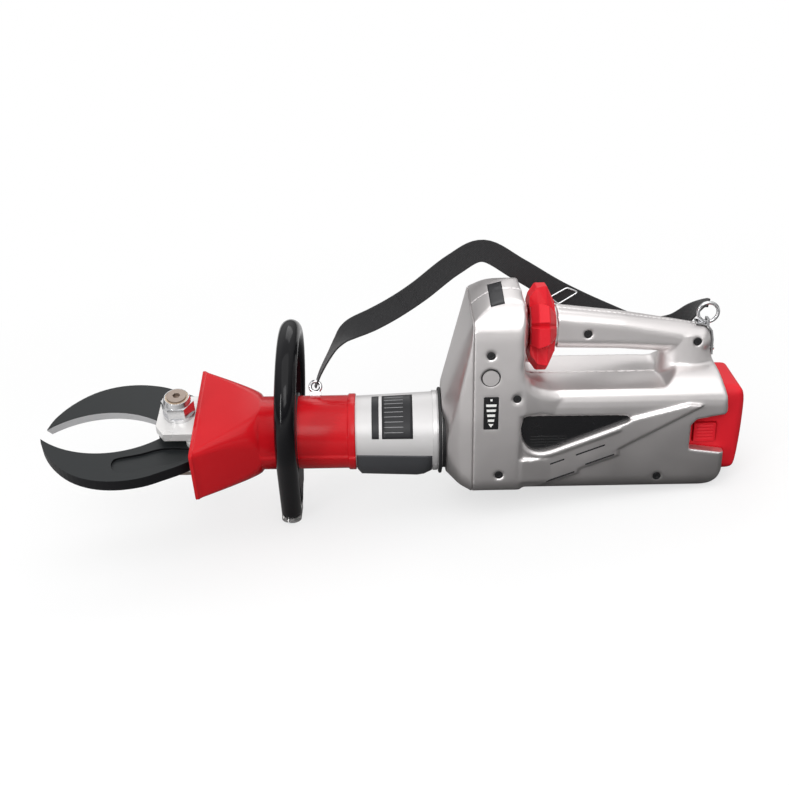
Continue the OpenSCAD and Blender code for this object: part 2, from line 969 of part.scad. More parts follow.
module valve_spindle() {
    color([0.85, 0.85, 0.86])
        stand()
            translate([0, 0, grip_z])
                bar_x(13, 100, grip_x + 12);
}

module grip_collar() {
    color([0.86, 0.86, 0.86])
        stand()
            translate([0, 0, grip_z])
                ring_x(44, core_d, star_x + star_l + 0.4, grip_x);
}

module pump_block() {
    color([0.6, 0.6, 0.6])
        stand()
            difference() {
                union() {
                    bar_x(56, house_x - 3, cover_x);
                    bar_x(80, cover_x, 124);
                    translate([94, -14, 30])
                        cube([28, 28, 84]);
                }
                bar_x(20, 100, 125);
            }
}

module gearbox() {
    color([0.45, 0.45, 0.46])
        stand()
            difference() {
                bar_x(80, 124, motor_x);
                bar_x(20, 123, motor_x + 1);
            }
}

module motor() {
    color([0.05, 0.05, 0.05])
        stand()
            difference() {
                bar_x(2 * motor_r, motor_x, batt_x - 22);
                bar_x(12, motor_x - 1, batt_x - 30);
                for (x = [motor_x + 6:5:motor_x + 40])
                    ring_x(2 * motor_r + 2, 2 * motor_r - 4, x, x + 2);
            }
}

module motor_shaft() {
    color([0.8, 0.8, 0.8])
        stand()
            bar_x(12 - 2 * run_fit, 110, batt_x - 31);
}

module terminal_block() {
    color([0.1, 0.1, 0.1])
        stand()
            translate([batt_x - 22, -24, -10])
                cube([21.5, 48, 40]);
}

// Battery pack with a wide head and a body that slides into the bay
module battery_pack() {
    color([0.8, 0.12, 0.15])
        stand()
            difference() {
                intersection() {
                    slab(-batt_w / 2, batt_w / 2)
                        polygon(concat([[batt_x, batt_z], [batt_x, batt_z + batt_h - 2]],
                            curve([[batt_end - 20, batt_z + batt_h], [batt_end - 7, batt_z + batt_h - 3],
                            [batt_end - 2, batt_z + batt_h - 14], [batt_end, batt_z + batt_h - 32],
                            [batt_end - 1.5, batt_z + batt_h - 60], [batt_end - 5, batt_z + 12],
                            [batt_end - 10, batt_z + 3], [batt_end - 18, batt_z]], 3)));
                    plan(batt_x, batt_end, batt_w / 2, 13);
                    beam(batt_x - 1, batt_x + batt_l + 1)
                        polygon(section(batt_w / 2, batt_z + batt_h, batt_z, 12, 10));
                }
                for (s = [-1, 1])
                    translate([rear_x - 34, s * (batt_w / 2 - 4) - 4.1, 0])
                        cube([26, 8.2, 24]);
            }
}

module release_tab(s) {
    translate([rear_x - 33.6, s * (batt_w / 2 - 0.5) - 3.4, 0.4])
        difference() {
            cube([25.2, 6.8, 23.2]);
            for (z = [4:4:20])
                translate([3, s < 0 ? -1 : 6, z])
                    cube([19, 1.8, 1.6]);
        }
}

module left_release_tab() {
    color([0.7, 0.1, 0.12])
        stand()
            release_tab(-1);
}

module right_release_tab() {
    color([0.7, 0.1, 0.12])
        stand()
            release_tab(1);
}

// Bent strip on the rear corner of the grip, with a lug for the strap ring
module ring_bracket() {
    color([0.8, 0.8, 0.8])
        stand() {
            slab(-6, 6)
                polygon([[334, 129.6], [342, 128.4], [348, 125.2], [352.6, 119.4], [354.6, 109], [355, 91],
                    [353, 91], [352.6, 109], [350.8, 118.6], [346.8, 124], [341.5, 126.4], [334, 127.6]]);
            difference() {
                translate([345.5, -5, 124.5])
                    cube([3, 10, 8]);
                translate([0, 0, ring_z - 11])
                    bar_x(6, 344, 350);
            }
            translate([0, 0, 97])
                bar_x(5, 336, 357);
        }
}

module strap_ring() {
    color([0.85, 0.85, 0.85])
        stand()
            translate([347, 0, ring_z])
                rotate([90, 0, 0])
                    rotate_extrude()
                        translate([11, 0])
                            circle(d = 4, $fn = 24);
}

// Route of the strap: x, y, z, lean of the webbing and its width there
strap_route = [[-90, 21.5, 50, 80, 8], [-88, 24, 62, 78, 12], [-82, 30, 76, 66, 20], [-68, 40, 92, 50, 26],
    [-46, 50, 108, 34, 26], [-14, 60, 118, 20, 26], [32, 66, 146, 12, 26], [70, 67, 176, 8, 26],
    [104, 67, 192, 4, 26], [144, 67, 170, 8, 26], [190, 65, 142, 12, 26], [240, 57, 119, 16, 26],
    [285, 52, 102, 18, 26], [318, 44, 106, 24, 26], [336, 34, 126, 40, 22], [345, 14, 144, 76, 12],
    [347, 2, 149, 88, 10]];

module carry_strap() {
    t = 2;
    rings = [for (i = [0:len(strap_route) - 1]) let (
        p = strap_route[i],
        a = strap_route[max(0, i - 1)],
        b = strap_route[min(len(strap_route) - 1, i + 1)],
        d = [b[0] - a[0], b[1] - a[1], b[2] - a[2]] / norm([b[0] - a[0], b[1] - a[1], b[2] - a[2]]),
        k = [0, sin(p[3]), cos(p[3])],
        u0 = k - d * (k * d),
        u = u0 / norm(u0),
        v = cross(d, u))
        [for (q = [[-1, -1], [1, -1], [1, 1], [-1, 1]])
            [p[0], p[1], p[2]] + u * q[0] * p[4] / 2 + v * q[1] * t / 2]];
    color([0.07, 0.07, 0.08])
        stand()
            tube_skin(rings);
}

module strap_buckle() {
    color([0.85, 0.85, 0.85])
        stand()
            translate([182, 65.4, 147])
                rotate([10, 33, 0])
                    difference() {
                        translate([-9, -2, -16])
                            cube([18, 4, 32]);
                        for (x = [-6, 1.5])
                            translate([x, -3, -13])
                                cube([4.5, 6, 26]);
                    }
}

upper_blade();
lower_blade();
pivot_bolt();
pivot_nut();
nut_insert();
pivot_washers();
yoke();
upper_blade_pin();
lower_blade_pin();
upper_link();
lower_link();
crosshead();
crosshead_pins();
piston_rod();
piston();
piston_seal();
rod_gland();
cylinder_node();  // cylinder
guard_boot();
silver_barrel();
collar_ring();
seal_ring();
handle_bar();
handle_sleeve();
handle_foot();
handle_clamp();
strap_eye();
front_cover();
left_shell();
right_shell();
left_window_panel();
right_window_panel();
case_screws();
charge_gauge();
control_board();
power_button();
star_grip();
core_tube();
valve_spindle();
grip_collar();
pump_block();
gearbox();
motor();
motor_shaft();
terminal_block();
battery_pack();
left_release_tab();
right_release_tab();
strap_ring();
ring_bracket();
carry_strap();
strap_buckle();
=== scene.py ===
import json
import math

import bmesh
import bpy
from mathutils import Matrix, Vector

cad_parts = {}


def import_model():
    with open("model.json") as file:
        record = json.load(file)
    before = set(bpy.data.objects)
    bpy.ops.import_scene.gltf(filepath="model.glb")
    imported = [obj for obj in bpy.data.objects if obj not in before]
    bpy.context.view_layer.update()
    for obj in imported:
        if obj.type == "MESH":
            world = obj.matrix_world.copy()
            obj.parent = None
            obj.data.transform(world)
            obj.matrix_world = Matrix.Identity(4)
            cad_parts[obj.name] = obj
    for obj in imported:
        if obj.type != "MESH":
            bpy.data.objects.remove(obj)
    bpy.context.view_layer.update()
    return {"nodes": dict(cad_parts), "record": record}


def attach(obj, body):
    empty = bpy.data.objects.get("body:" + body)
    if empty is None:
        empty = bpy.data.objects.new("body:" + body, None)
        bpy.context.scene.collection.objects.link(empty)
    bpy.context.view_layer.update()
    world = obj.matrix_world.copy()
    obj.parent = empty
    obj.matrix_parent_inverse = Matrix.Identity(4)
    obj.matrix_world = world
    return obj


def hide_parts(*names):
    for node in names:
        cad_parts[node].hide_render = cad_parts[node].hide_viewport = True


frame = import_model()
nodes = frame["nodes"]
record = frame["record"]
body_of = {n: body for body, names in record["behaviour"]["bodies"].items() for n in names}

# Tool frame: millimetres, barrel axis along X at y = z = 0, as in part.scad
STANCE, RAKE = math.radians(6.7), math.radians(2)
HANDLE_X, CENTRE_X, FOOT_REACH, LIMB_D = -119.0, -7.3, 107.0, 23.4
FOOT_LOW = (FOOT_REACH * math.cos(STANCE + RAKE)
            + LIMB_D / 2 * (math.sin(STANCE + RAKE) - math.sin(STANCE))) / math.cos(STANCE)
LIFT = LIMB_D / 2 * math.sin(STANCE)
TOOL = (Matrix.Translation(((HANDLE_X + CENTRE_X) / 1000, 0, LIFT / 1000))
        @ Matrix.Rotation(STANCE, 4, "Y")
        @ Matrix.Translation((-HANDLE_X / 1000, 0, FOOT_LOW / 1000)))
UNTOOL = TOOL.inverted()
HEAD_ROLL, PIVOT_X = math.radians(74), -243.0


def world(x, y, z):
    return TOOL @ Vector((x / 1000, y / 1000, z / 1000))


def tool(p):
    return (UNTOOL @ Vector(p)) * 1000


# Materials
class Graph:
    """Short way to add shader nodes and join them."""

    def __init__(self, name):
        self.material = bpy.data.materials.new(name)
        self.material.use_nodes = True
        self.tree = self.material.node_tree
        self.shader = self.tree.nodes["Principled BSDF"]
        self.place = self.add("TexCoord").outputs["Object"]

    def add(self, kind, **values):
        node = self.tree.nodes.new("ShaderNode" + kind)
        for key, value in values.items():
            setattr(node, key, value)
        return node

    def join(self, a, b):
        self.tree.links.new(a, b)

    def noise(self, scale, detail=5, stretch=None):
        node = self.add("TexNoise")
        node.inputs["Scale"].default_value = scale
        node.inputs["Detail"].default_value = detail
        source = self.place
        if stretch:
            mapping = self.add("Mapping")
            mapping.inputs["Scale"].default_value = stretch
            mapping.inputs["Rotation"].default_value = (0, -STANCE, 0)
            self.join(source, mapping.inputs["Vector"])
            source = mapping.outputs["Vector"]
        self.join(source, node.inputs["Vector"])
        return node.outputs["Fac"]

    def ramp(self, fac, low, high):
        node = self.add("Mix", data_type="RGBA")
        node.inputs[6].default_value = (*low, 1)
        node.inputs[7].default_value = (*high, 1)
        self.join(fac, node.inputs[0])
        return node.outputs[2]

    def spread(self, fac, low, high, start=0.3, end=0.7):
        node = self.add("MapRange")
        node.inputs["From Min"].default_value = start
        node.inputs["From Max"].default_value = end
        node.inputs["To Min"].default_value = low
        node.inputs["To Max"].default_value = high
        self.join(fac, node.inputs["Value"])
        return node.outputs["Result"]

    def bump(self, height, strength, distance, normal=None):
        node = self.add("Bump")
        node.inputs["Strength"].default_value = strength
        node.inputs["Distance"].default_value = distance
        self.join(height, node.inputs["Height"])
        if normal:
            self.join(normal, node.inputs["Normal"])
        return node.outputs["Normal"]


def shade(color, k):
    return tuple(min(1.0, c * k) for c in color)


BLOTCH = 22.0


def finish(name, color, rough, metal=0.0, vary=0.05, grain=900.0, bump=0.05, depth=0.0003, stretch=None, tint=0.07,
           edge=0.0, spec=0.5):
    """Moulded, painted or machined finish: blotchy gloss, fine grain and slight colour drift."""
    g = Graph(name)
    s = g.shader.inputs
    s["Metallic"].default_value = metal
    s["Specular IOR Level"].default_value = spec
    drift = g.noise(BLOTCH, stretch=stretch)
    fine = g.noise(grain, 3, stretch)
    g.join(g.ramp(drift, shade(color, 1 - tint), shade(color, 1 + tint)), s["Base Color"])
    g.join(g.spread(drift, max(0.03, rough - vary), rough + vary), s["Roughness"])
    normal = None
    if edge:
        bevel = g.add("Bevel", samples=6)
        bevel.inputs["Radius"].default_value = edge
        normal = bevel.outputs["Normal"]
    g.join(g.bump(fine, bump, depth, normal), s["Normal"])
    return g.material


def ribbed():
    """Bright turned metal with fine rings."""
    g = Graph("ribbed_steel")
    s = g.shader.inputs
    s["Metallic"].default_value = 0.9
    s["Roughness"].default_value = 0.25
    wave = g.add("TexWave", wave_type="BANDS", bands_direction="Z")
    wave.inputs["Scale"].default_value = 170
    g.join(g.place, wave.inputs["Vector"])
    g.join(g.ramp(wave.outputs["Fac"], (0.28, 0.28, 0.28), (0.75, 0.74, 0.73)), s["Base Color"])
    g.join(g.bump(wave.outputs["Fac"], 0.6, 0.0005), s["Normal"])
    return g.material


def webbing():
    """Woven band: ribs across and a herringbone along, in object space."""
    g = Graph("webbing")
    s = g.shader.inputs
    s["Sheen Weight"].default_value = 0.25
    s["Roughness"].default_value = 0.82
    wave = g.add("TexWave", wave_type="BANDS", bands_direction="DIAGONAL")
    wave.inputs["Scale"].default_value = 260
    wave.inputs["Distortion"].default_value = 0.6
    g.join(g.place, wave.inputs["Vector"])
    cross = g.add("TexWave", wave_type="BANDS", bands_direction="X")
    cross.inputs["Scale"].default_value = 300
    g.join(g.place, cross.inputs["Vector"])
    both = g.add("Math", operation="MULTIPLY")
    g.join(wave.outputs["Fac"], both.inputs[0])
    g.join(cross.outputs["Fac"], both.inputs[1])
    g.join(g.ramp(both.outputs[0], (0.006, 0.006, 0.007), (0.028, 0.028, 0.03)), s["Base Color"])
    g.join(g.bump(both.outputs[0], 0.5, 0.0005), s["Normal"])
    return g.material


SILVER, RED, STEEL = (0.74, 0.71, 0.705), (0.50, 0.007, 0.012), (0.62, 0.62, 0.63)
M = {
    "blade_steel": finish("blade_steel", (0.010, 0.012, 0.013), 0.42, 0.1, vary=0.07, grain=700, bump=0.12,
                          edge=0.0007, tint=0.14, spec=0.4),
    "bright_steel": finish("bright_steel", STEEL, 0.17, 1.0, vary=0.06, grain=400, bump=0.03, edge=0.0005),
    "nylon": finish("nylon", (0.55, 0.44, 0.33), 0.5, edge=0.0004),
    "yoke_steel": finish("yoke_steel", (0.69, 0.68, 0.67), 0.30, 0.35, vary=0.05, grain=900, bump=0.03,
                         edge=0.0008),
    "bronze": finish("bronze", (0.50, 0.34, 0.14), 0.34, 1.0),
    "seal_rubber": finish("seal_rubber", (0.010, 0.010, 0.011), 0.55, bump=0.10),
    "red_guard": finish("red_guard", RED, 0.20, vary=0.05, grain=40, bump=0.05, depth=0.0005, spec=0.2),
    "red_plastic": finish("red_plastic", (0.68, 0.015, 0.026), 0.42, grain=1200, bump=0.05, edge=0.0006, spec=0.2),
    "silver_paint": finish("silver_paint", (0.57, 0.56, 0.56), 0.42, 0.25, vary=0.02, grain=1500, bump=0.02,
                           tint=0.03),
    "collar_metal": finish("collar_metal", (0.58, 0.57, 0.57), 0.36, 0.4, vary=0.03, grain=900, bump=0.02,
                           edge=0.0006, tint=0.03),
    "handle_rubber": finish("handle_rubber", (0.004, 0.004, 0.005), 0.12, vary=0.04, grain=500, bump=0.03, spec=0.2),
    "black_metal": finish("black_metal", (0.020, 0.020, 0.021), 0.38, 0.3, edge=0.0004),
    "silver_case": finish("silver_case", SILVER, 0.40, 0.95, vary=0.03, grain=2200, bump=0.05, depth=0.0002),
    "grey_case": finish("grey_case", (0.62, 0.595, 0.59), 0.40, 0.95, grain=2200, bump=0.05, depth=0.0002),
    "black_plastic": finish("black_plastic", (0.006, 0.006, 0.007), 0.24, vary=0.08, edge=0.0004),
    "board": finish("board", (0.02, 0.16, 0.06), 0.5),
    "pump_metal": finish("pump_metal", (0.5, 0.5, 0.5), 0.45, 0.9, bump=0.2),
    "motor_black": finish("motor_black", (0.010, 0.010, 0.011), 0.35, 0.2),
    "webbing": webbing(),
}
RIBBED = ribbed()
BOLT = finish("bolt_end", (0.34, 0.28, 0.24), 0.35, 0.8, edge=0.0004)
GROUND = finish("ground_edge", (0.60, 0.60, 0.61), 0.34, 0.35, vary=0.06, grain=260, bump=0.05,
                stretch=(3, 30, 30))
BLADE_SIDE = finish("blade_side", (0.004, 0.004, 0.005), 0.5, bump=0.10, spec=0.15)
PLATE = finish("plate_dark", (0.018, 0.018, 0.020), 0.36, grain=1500, spec=0.25)
RULE = finish("plate_rule", (0.30, 0.30, 0.31), 0.4)
WHITE = finish("gauge_white", (0.82, 0.82, 0.80), 0.4)
# painted shade: near black for the vent slits' openings
SLIT_SHADE = finish("slit_painted_shade", (0.008, 0.008, 0.009), 0.6)
STITCH = finish("stitch_thread", (0.035, 0.035, 0.037), 0.7)
# painted shade: dark grey for the shell under the barrel
UNDERSIDE_PAINTED_SHADE = finish("underside_painted_shade", (0.055, 0.057, 0.062), 0.42, 0.2, grain=1500)
OWN_FINISH = {"pivot_bolt": BOLT, "handle_foot": RIBBED}
for subpart in record["subparts"]:
    mesh = nodes[subpart["node"]].data
    mesh.materials.clear()
    mesh.materials.append(OWN_FINISH.get(subpart["node"], M[subpart["material_slot"]]))


# Camera at the photograph's angle
ELEV, ROLL = math.radians(25), math.radians(1.0)
DIST, PX, SENSOR = 1322.0, 1.15, 36
PHOTO_W, PHOTO_H, AXIS_X, AXIS_Y = 789, 785, 394.5, 430.5
level = Vector((0, math.sin(ELEV), math.cos(ELEV)))
toward = Vector((0, -math.cos(ELEV), math.sin(ELEV)))
right = Vector((1, 0, 0)) * math.cos(ROLL) - level * math.sin(ROLL)
up = Vector((1, 0, 0)) * math.sin(ROLL) + level * math.cos(ROLL)
eye = (up * ((AXIS_Y - PHOTO_H / 2) * PX) + toward * DIST) / 1000
camera_data = bpy.data.cameras.new("camera")
camera = bpy.data.objects.new("camera", camera_data)
bpy.context.scene.collection.objects.link(camera)
camera.matrix_world = TOOL @ Matrix((
    (right.x, up.x, toward.x, eye.x),
    (right.y, up.y, toward.y, eye.y),
    (right.z, up.z, toward.z, eye.z),
    (0, 0, 0, 1)))
camera_data.sensor_fit = "HORIZONTAL"
camera_data.sensor_width = SENSOR
camera_data.lens = SENSOR * (DIST / PX) / PHOTO_W
camera_data.clip_end = 50
bpy.context.scene.camera = camera


# Mesh helpers
def pixel_ray(px, py):
    """Start and direction of the camera's ray through a place in the picture."""
    way = right * (px - AXIS_X) * PX + up * (PHOTO_H / 2 - py) * PX - toward * DIST
    return TOOL @ eye, (TOOL.to_3x3() @ way).normalized()


def piece(name, verts, faces, material, body="frame", slot=None, stands_for=(), smooth=True):
    mesh = bpy.data.meshes.new(name)
    mesh.from_pydata([tuple(v) for v in verts], [], faces)
    mesh.materials.append(material)
    return settle(name, mesh, body, stands_for, smooth)


def settle(name, mesh, body, stands_for=(), smooth=True):
    """Object from a mesh, carried by its body; the nodes that it stands for are hidden."""
    bm = bmesh.new()
    bm.from_mesh(mesh)
    bmesh.ops.recalc_face_normals(bm, faces=bm.faces)
    bm.to_mesh(mesh)
    bm.free()
    for poly in mesh.polygons:
        poly.use_smooth = smooth
    obj = bpy.data.objects.new(name, mesh)
    bpy.context.scene.collection.objects.link(obj)
    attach(obj, body)
    if stands_for:
        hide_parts(*stands_for)
    return obj


def skin(rings, loop=False):
    """Faces through rings of points, closed by end caps; loop joins the last ring to the first instead."""
    n, m = len(rings[0]), len(rings)
    verts = [p for ring in rings for p in ring]
    faces = [(i * n + j, i * n + (j + 1) % n, (i + 1) % m * n + (j + 1) % n, (i + 1) % m * n + j)
             for i in range(m if loop else m - 1) for j in range(n)]
    if not loop:
        faces += [tuple(range(n))[::-1], tuple(range((m - 1) * n, m * n))]
    return verts, faces


def tube(path, radius, sides=20, loop=False):
    """Round tube along points in metres."""
    rings, side = [], None
    for i, p in enumerate(path):
        before = path[i - 1] if loop or i else p
        after = path[(i + 1) % len(path)] if loop or i < len(path) - 1 else p
        along = (after - before).normalized()
        side = side or along.orthogonal()
        side = (side - along * side.dot(along)).normalized()
        other = along.cross(side)
        rings.append([p + (side * math.cos(a) + other * math.sin(a)) * radius
                      for a in (2 * math.pi * k / sides for k in range(sides))])
    return skin(rings, loop)


def joined(parts):
    """Several closed forms as one list of points and faces."""
    verts, faces = [], []
    for more_verts, more_faces in parts:
        faces += [tuple(i + len(verts) for i in face) for face in more_faces]
        verts += more_verts
    return verts, faces


def curve(points, steps):
    """Smooth curve through points of any length, with steps between neighbours."""
    last = len(points) - 1
    out = []
    for i in range(last):
        a, b, c, d = [points[min(max(k, 0), last)] for k in (i - 1, i, i + 1, i + 2)]
        for k in range(steps):
            t = k / steps
            out.append(tuple((2 * q + (r - p) * t + (2 * p - 5 * q + 4 * r - s) * t * t
                              + (3 * q - p - 3 * r + s) * t ** 3) / 2 for p, q, r, s in zip(a, b, c, d)))
    return out + [tuple(points[-1])]


def slot_of(node):
    return next(s["material_slot"] for s in record["subparts"] if s["node"] == node)


def welded(node):
    """Copy of a CAD node's mesh with its points joined up."""
    bm = bmesh.new()
    bm.from_mesh(nodes[node].data)
    bmesh.ops.remove_doubles(bm, verts=bm.verts, dist=2e-6)
    return bm


def ease(value, low, high):
    """Smooth step from 0 at low to 1 at high."""
    t = min(1.0, max(0.0, (value - low) / (high - low)))
    return t * t * (3 - 2 * t)


def block(x0, x1, y0, y1, z0, z1):
    """Closed box in the tool frame, as points and faces."""
    verts = [world(x, y, z) for x in (x0, x1) for y in (y0, y1) for z in (z0, z1)]
    return verts, [(0, 1, 3, 2), (4, 6, 7, 5), (0, 4, 5, 1), (2, 3, 7, 6), (0, 2, 6, 4), (1, 5, 7, 3)]


def prism(points, z0, z1):
    """Closed prism from points in plan (x, y)."""
    return skin([[world(x, y, z) for x, y in points] for z in (z0, z1)])


def smoothed(mesh, passes):
    """Mesh after rounding passes, each a number of rounds and a weight by place in the tool frame."""
    obj = bpy.data.objects.new("rounding", mesh)
    bpy.context.scene.collection.objects.link(obj)
    spots = [tool(v.co) for v in mesh.vertices]
    for k, (rounds, weight) in enumerate(passes):
        round_off = obj.modifiers.new("round%d" % k, "SMOOTH")
        round_off.factor = 0.5
        round_off.iterations = rounds
        if weight:
            group = obj.vertex_groups.new(name="weight%d" % k)
            for i, p in enumerate(spots):
                w = weight(p)
                if w > 0.01:
                    group.add((i,), w, "REPLACE")
            round_off.vertex_group = group.name
    return taken(obj)


def taken(obj):
    """The object's mesh with its modifiers applied; the object goes."""
    shaped = bpy.data.meshes.new_from_object(obj.evaluated_get(bpy.context.evaluated_depsgraph_get()))
    bpy.data.objects.remove(obj)
    return shaped


def soften(node, voxel, passes, extra=()):
    """Copy of a CAD node with its edges rounded, in place of the node; extra closed forms are melted in."""
    name = node + "_moulded"
    mesh = bpy.data.meshes.new(name)
    bm = welded(node)
    for verts, faces in extra:
        made = [bm.verts.new(v) for v in verts]
        for face in faces:
            bm.faces.new([made[i] for i in face])
    bmesh.ops.recalc_face_normals(bm, faces=bm.faces)
    bm.to_mesh(mesh)
    bm.free()
    obj = bpy.data.objects.new(name, mesh)
    bpy.context.scene.collection.objects.link(obj)
    grid = obj.modifiers.new("grid", "REMESH")
    grid.mode = "VOXEL"
    grid.voxel_size = voxel / 1000
    shaped = smoothed(taken(obj), passes)
    shaped.materials.clear()
    shaped.materials.append(M[slot_of(node)])
    return settle(name, shaped, body_of[node], (node,))


# Case, battery and release tabs as moulded shells
COVER_X, BODY_W = 86.0, 54.0
CASE_VOXEL, BATTERY_VOXEL, TAB_VOXEL, TAB_SHRINK = 1.3, 0.85, 0.45, 0.955
SLITS = ((156, -23), (200, -6), (168, -39), (211, -18))
SLIT_RISE, SLIT_L = math.radians(21), 34


def seams(p):
    """No rounding at the middle seam and at the cover seam."""
    return ease(abs(p.y), 0.9, 4.5) * ease(abs(p.x - COVER_X), 0.7, 3.5)


def broad(p):
    """Where the case has its wide fillets: housing corner, housing top, foot of the grip post."""
    corner = ease(p.x, 126, 138) * (1 - ease(p.x, 168, 182)) * ease(p.z, 42, 54) * (1 - ease(p.z, 100, 112))
    top = (1 - ease(p.x, 140, 150)) * ease(p.z, 112, 132)
    post = ease(p.x, 276, 292) * ease(p.z, 62, 72) * (1 - ease(p.z, 96, 108))
    foot = 1 - ease(p.z, -40, -30)
    return max(corner, top, post, foot) * ease(abs(p.y), 2, 14) * ease(abs(p.x - COVER_X), 1.5, 9)


def cover_front(p):
    """Where the front cover has its wide fillets: between its seam and its bore."""
    return ease(abs(p.x - COVER_X), 1, 10) * ease(p.x, 57, 63)


def slit_fills():
    """Steps of blocks that close the vent slits; dark strips of painted shade mark them later."""
    blocks = []
    for x, z in SLITS:
        for step in range(0, 36, 3):
            low = z + step * math.tan(SLIT_RISE)
            blocks.append(block(x + step - 1, x + step + 3, -BODY_W - 3.9, -BODY_W + 3, low - 2, low + 5))
    return blocks


def corner_web():
    """Fillet between the housing's rear wall and the body's top: stations with half width and height."""
    stations = ((138.6, 61.9, 102), (141.5, 61.6, 89), (147, 60, 80), (158, 57.2, 74), (170, 55, 70.5), (182, 53, 68))
    return skin([[world(x, y, z) for y, z in ((-30, 45), (-out, 45), (-out, top - 7), (-out + 5, top), (-30, top))]
                 for x, out, top in stations])


# Rolled lip round the lower edge of the side window, as x and z
LIP = [(137.5, 38), (138.5, 31), (139, 22), (142, 12), (149, 2.5), (160, -1.2), (172, 0.8), (188, 7), (215, 17.5),
       (245, 29.5), (258, 35)]
LIP_OFF, LIP_Y, LIP_SUNK_Y, LIP_ENDS, LIP_R = 4, -54.6, -52.5, 3, 0.0045


def window_lip():
    path = []
    smooth = curve(LIP, 4)
    for i, (x, z) in enumerate(smooth):
        (ax, az), (bx, bz) = smooth[max(i - 1, 0)], smooth[min(i + 1, len(smooth) - 1)]
        n = Vector((bz - az, ax - bx)).normalized() * LIP_OFF
        inside = LIP_ENDS < i < len(smooth) - 1 - LIP_ENDS
        path.append(world(x + n.x, LIP_Y if inside else LIP_SUNK_Y, z + n.y))
    return tube(path, LIP_R, 16)


def mirrored(forms):
    return [([world(*(Vector((1, -1, 1)) * tool(v))) for v in verts], faces) for verts, faces in forms]


gauge_fill = block(96, 114, -61.6, -53, 29, 71)
low_wedge = prism([(138, -61.9), (141, -61.9), (174, -57.9), (174, -48), (138, -48)], -38, -9)
both_sides = [corner_web(), low_wedge, window_lip()]
slit_blocks = slit_fills()
case_passes = ((5, seams), (34, broad))
left_case = soften("left_shell", CASE_VOXEL, case_passes, slit_blocks + [gauge_fill] + both_sides)
right_case = soften("right_shell", CASE_VOXEL, case_passes, mirrored(slit_blocks + both_sides))
soften("front_cover", CASE_VOXEL, ((6, seams), (40, cover_front)))


def off_tabs(p):
    """No rounding in the pockets of the release tabs."""
    pocket = (ease(p.x, 324, 329) * (1 - ease(p.x, 361, 366)) * ease(p.z, -8, -3) * (1 - ease(p.z, 27, 32))
              * ease(abs(p.y), 24, 29))
    return 1 - pocket


def release_tab(node):
    """Moulded tab, a little smaller than its pocket, so that it clears the rounded walls when pressed."""
    cap = soften(node, TAB_VOXEL, ((3, None),)).data
    spots = [tool(v.co) for v in cap.vertices]
    mid = [(min(p[k] for p in spots) + max(p[k] for p in spots)) / 2 for k in range(3)]
    for v, p in zip(cap.vertices, spots):
        v.co = world(mid[0] + (p.x - mid[0]) * TAB_SHRINK, p.y, mid[2] + (p.z - mid[2]) * TAB_SHRINK)


soften("battery_pack", BATTERY_VOXEL, ((50, off_tabs),))
release_tab("left_release_tab")
release_tab("right_release_tab")


# Rubber lip of the seal ring, on the rear end of the collar
SEAL_X, SEAL_R, SEAL_W = 51.2, 47.6, 1.9


def seal_lip():
    loop = [world(SEAL_X, SEAL_R * math.cos(a), SEAL_R * math.sin(a)) for a in (math.pi * k / 48 for k in range(96))]
    verts, faces = tube(loop, SEAL_W / 1000, 16, True)
    piece("seal_ring_lip", verts, faces, M["seal_rubber"], body_of["seal_ring"], slot_of("seal_ring"))


seal_lip()


# Star grip: eight flat lobes in pairs, a slit within each pair and a wide groove between pairs
GRIP_Z, STAR_X, STAR_L, STAR_R, STAR_BORE = 126.0, 149.0, 28.0, 48.0, 24.0
PAIR_TURN, FRONT_REACH, REAR_REACH, SLIT_HALF, SLIT_DEEP, GROOVE_DEEP = 68, 34, 21, 4, 0.7, 1.9


def star_piece():
    """Stations along the axis: distance, radius of the lobes, depth of the grooves."""
    stations = ((0, STAR_BORE, 0), (0, 37, 5), (0.6, 38.2, 6), (7.2, 47.4, 8), (8.2, STAR_R, 8), (18.2, STAR_R, 8),
                (19.4, 46.8, 8), (26.8, 31, 3.5), (STAR_L, 29, 2.5), (STAR_L, STAR_BORE, 0))
    rings = []
    for x, r, groove in stations:
        ring = []
        reach = FRONT_REACH - (FRONT_REACH - REAR_REACH) * x / STAR_L
        profile = ((-reach, 0), (-SLIT_HALF, 0), (0, SLIT_DEEP), (SLIT_HALF, 0), (reach, 0), (45, GROOVE_DEEP))
        for k in range(4):
            for part, deep in profile:
                turn = math.radians(90 * k + part + PAIR_TURN)
                q = r - groove * deep
                ring.append(world(STAR_X + x, -q * math.sin(turn), GRIP_Z + q * math.cos(turn)))
        rings.append(ring)
    verts, faces = skin(rings, loop=True)
    piece("star_grip_lobes", verts, faces, M["red_plastic"], body_of["star_grip"], "red_plastic", ("star_grip",),
          False)


star_piece()


# Blades with a bright ground edge
EDGE_AT, EDGE_R, BEVEL, BEVEL_FROM = Vector((88, -64)), 103.0, 5.0, 22
BLUNT, LOWER_BLUNT = (0.5, -0.866), 62.0
through = Vector((0, math.cos(HEAD_ROLL), -math.sin(HEAD_ROLL)))
across = Vector((0, math.sin(HEAD_ROLL), math.cos(HEAD_ROLL)))


